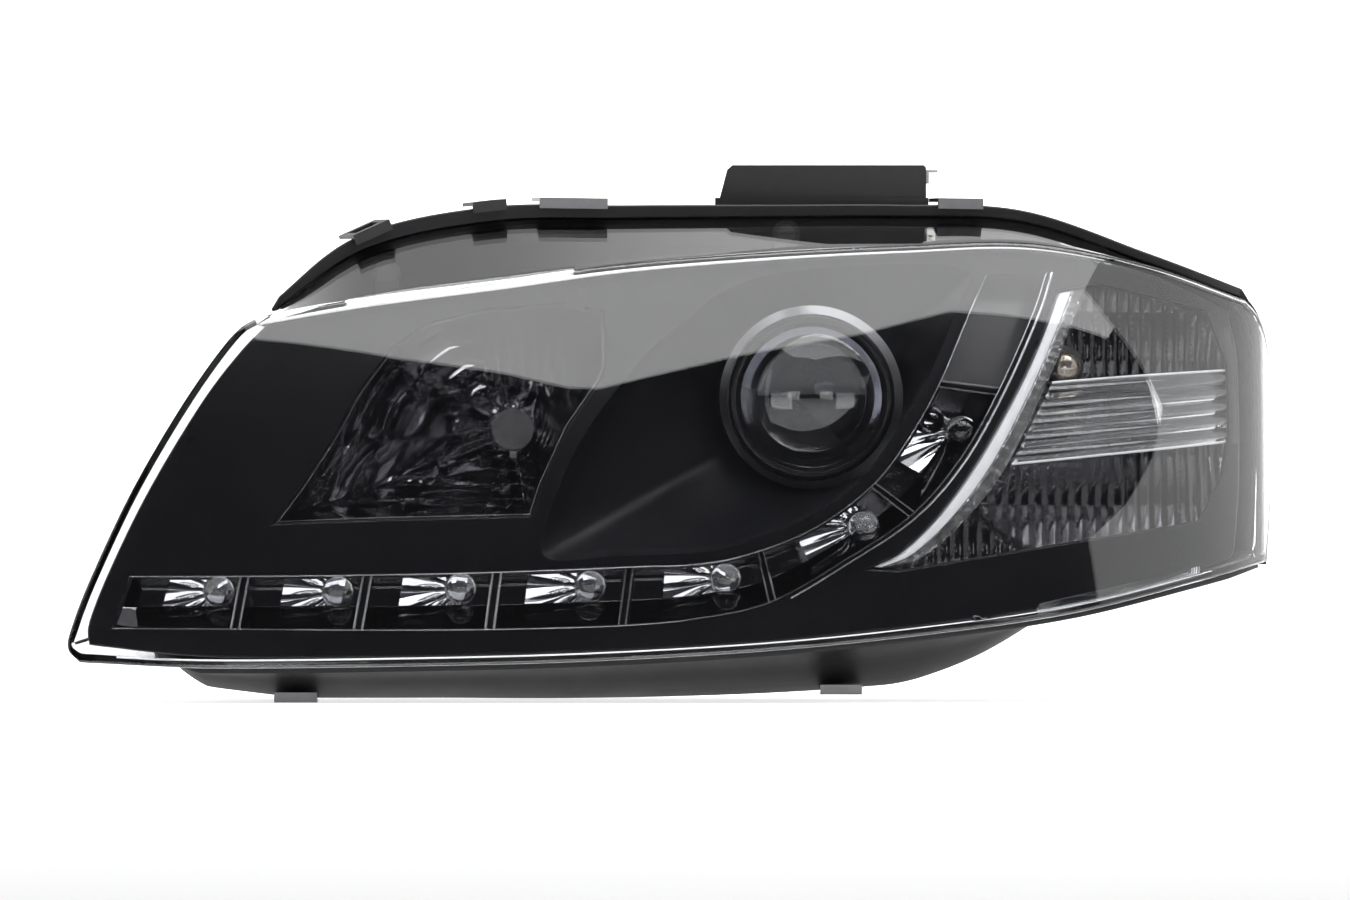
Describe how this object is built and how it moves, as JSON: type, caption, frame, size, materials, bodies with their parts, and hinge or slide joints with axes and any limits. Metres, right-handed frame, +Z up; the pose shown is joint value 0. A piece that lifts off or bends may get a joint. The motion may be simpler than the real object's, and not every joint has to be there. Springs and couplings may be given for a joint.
{
  "type": "car headlight assembly",
  "caption": "Left-hand car headlamp with a projector low beam, reflector high beam, running-light strip and indicator behind a clear wrapped lens, with an aimable inner carrier.",
  "frame": {"origin": "centre of the upper mounting bolt hole, halfway down it", "axes": "+X towards the fender, +Y towards the rear of the car, +Z up"},
  "size_m": [0.5196, 0.2666, 0.232],
  "materials": {
    "clear_polycarbonate": "clear hard-coated polycarbonate",
    "seal_rubber": "matt black sealing rubber",
    "housing_black": "moulded black polypropylene, fine texture",
    "bracket_black": "smooth black polyamide",
    "zinc_steel": "zinc-plated steel",
    "spring_steel": "bright spring steel",
    "bezel_black": "satin black bezel plastic",
    "bright_chrome": "vacuum-metallised chrome",
    "smoked_chrome": "smoked chrome",
    "led_optic": "clear moulded optic",
    "light_guide_clear": "frosted clear acrylic",
    "circuit_green": "solder-masked board",
    "led_yellow": "phosphor LED chip",
    "driver_grey": "cast aluminium heat sink",
    "lamp_glass": "clear lamp glass",
    "amber_glass": "amber bulb glass",
    "grey_nylon": "grey nylon",
    "frame_black": "glass-filled nylon",
    "cast_aluminium": "die-cast aluminium",
    "white_nylon": "natural nylon",
    "contact_brass": "tinned brass"
  },
  "bodies": {
    "lamp_body": {"outer_lens": "clear_polycarbonate", "lens_seal": "seal_rubber", "housing": "housing_black", "housing_rear_panel": "housing_black", "upper_mount_bracket": "bracket_black", "upper_mount_bush": "zinc_steel", "bracket_speed_nut": "spring_steel", "inner_mount_bracket": "bracket_black", "outer_mount_bracket": "bracket_black", "mount_bushes": "zinc_steel", "housing_screws": "zinc_steel", "rim_clips": "spring_steel", "rim_tabs": "bracket_black", "inner_bezel": "bezel_black", "bezel_brackets": "housing_black", "bezel_screws": "zinc_steel", "projector_bowl": "bezel_black", "drl_reflector": "smoked_chrome", "drl_trim": "bright_chrome", "drl_dividers": "bright_chrome", "drl_led_lenses": "led_optic", "drl_circuit_board": "circuit_green", "drl_led_chips": "led_yellow", "drl_driver_module": "driver_grey", "light_guide": "light_guide_clear", "indicator_reflector": "smoked_chrome", "indicator_ribbed_lens": "led_optic", "pivot_ball_stud": "zinc_steel", "levelling_motor": "bracket_black", "horizontal_adjuster_body": "bracket_black", "cap_seals": "seal_rubber", "main_connector": "bracket_black", "connector_pins": "contact_brass", "breather_caps": "seal_rubber"},
    "aim_socket": {"pivot_socket": "white_nylon"},
    "carrier": {"carrier_frame": "frame_black", "projector_lens": "lamp_glass", "projector_lens_ring": "smoked_chrome", "projector_barrel": "cast_aluminium", "cutoff_shield": "spring_steel", "projector_reflector": "bright_chrome", "low_beam_bulb": "lamp_glass", "high_beam_reflector": "smoked_chrome", "high_beam_bulb": "lamp_glass", "high_beam_bulb_shield": "smoked_chrome"},
    "low_clip": {"low_beam_bulb_clip": "spring_steel"},
    "high_clip": {"high_beam_bulb_clip": "spring_steel"},
    "spindle": {"levelling_spindle": "white_nylon"},
    "side_stud": {"horizontal_ball_stud": "white_nylon"},
    "level_knob": {"vertical_adjuster_knob": "white_nylon"},
    "side_knob": {"horizontal_adjuster_knob": "white_nylon"},
    "low_cap": {"low_beam_cap": "housing_black"},
    "high_cap": {"high_beam_cap": "housing_black"},
    "indicator_holder": {"indicator_bulb": "amber_glass", "indicator_bulb_holder": "grey_nylon"}
  },
  "joints": [
    {"name": "beam_yaw", "type": "hinge", "parent": "lamp_body", "child": "aim_socket", "pos_m": [-0.064, -0.02, -0.0924], "axis": [0, 0, 1], "range_deg": [-1.5, 1.5]},
    {"name": "beam_tilt", "type": "hinge", "parent": "aim_socket", "child": "carrier", "pos_m": [-0.064, -0.02, -0.0924], "axis": [1, 0, 0], "range_deg": [-2, 2]},
    {"name": "level_slide", "type": "slide", "parent": "lamp_body", "child": "spindle", "axis": [0, 1, 0], "range_m": [-0.0032, 0.0032]},
    {"name": "side_slide", "type": "slide", "parent": "lamp_body", "child": "side_stud", "axis": [0, 1, 0], "range_m": [-0.0035, 0.0035]},
    {"name": "level_knob_turn", "type": "hinge", "parent": "lamp_body", "child": "level_knob", "pos_m": [-0.03, 0.072, -0.1814], "axis": [0, 1, 0], "range_deg": [-186.5, 186.5]},
    {"name": "side_knob_turn", "type": "hinge", "parent": "lamp_body", "child": "side_knob", "pos_m": [-0.195, 0.077, -0.0964], "axis": [0, 1, 0], "range_deg": [-206, 206]},
    {"name": "low_clip_open", "type": "hinge", "parent": "carrier", "child": "low_clip", "pos_m": [-0.0225, 0.0306, -0.0927], "axis": [0, 0, 1], "range_deg": [0, 45]},
    {"name": "high_clip_open", "type": "hinge", "parent": "carrier", "child": "high_clip", "pos_m": [-0.151, -0.0214, -0.1064], "axis": [0, 0, 1], "range_deg": [0, 60]},
    {"name": "low_cap_turn", "type": "hinge", "parent": "lamp_body", "child": "low_cap", "pos_m": [-0.0055, 0.064, -0.0927], "axis": [0, 1, 0], "range_deg": [0, 35]},
    {"name": "high_cap_turn", "type": "hinge", "parent": "lamp_body", "child": "high_cap", "pos_m": [-0.134, 0.064, -0.1064], "axis": [0, 1, 0], "range_deg": [0, 35]},
    {"name": "indicator_holder_turn", "type": "hinge", "parent": "lamp_body", "child": "indicator_holder", "pos_m": [0.103, 0.062, -0.0798], "axis": [0, 1, 0], "range_deg": [0, 45]}
  ],
  "couplings": [
    {"joint": "level_knob_turn", "follows": "beam_tilt", "ratio": 93.201},
    {"joint": "level_slide", "follows": "beam_tilt", "m_per_rad": 0.089},
    {"joint": "side_knob_turn", "follows": "beam_yaw", "ratio": -137.18},
    {"joint": "side_slide", "follows": "beam_yaw", "m_per_rad": -0.131}
  ]
}
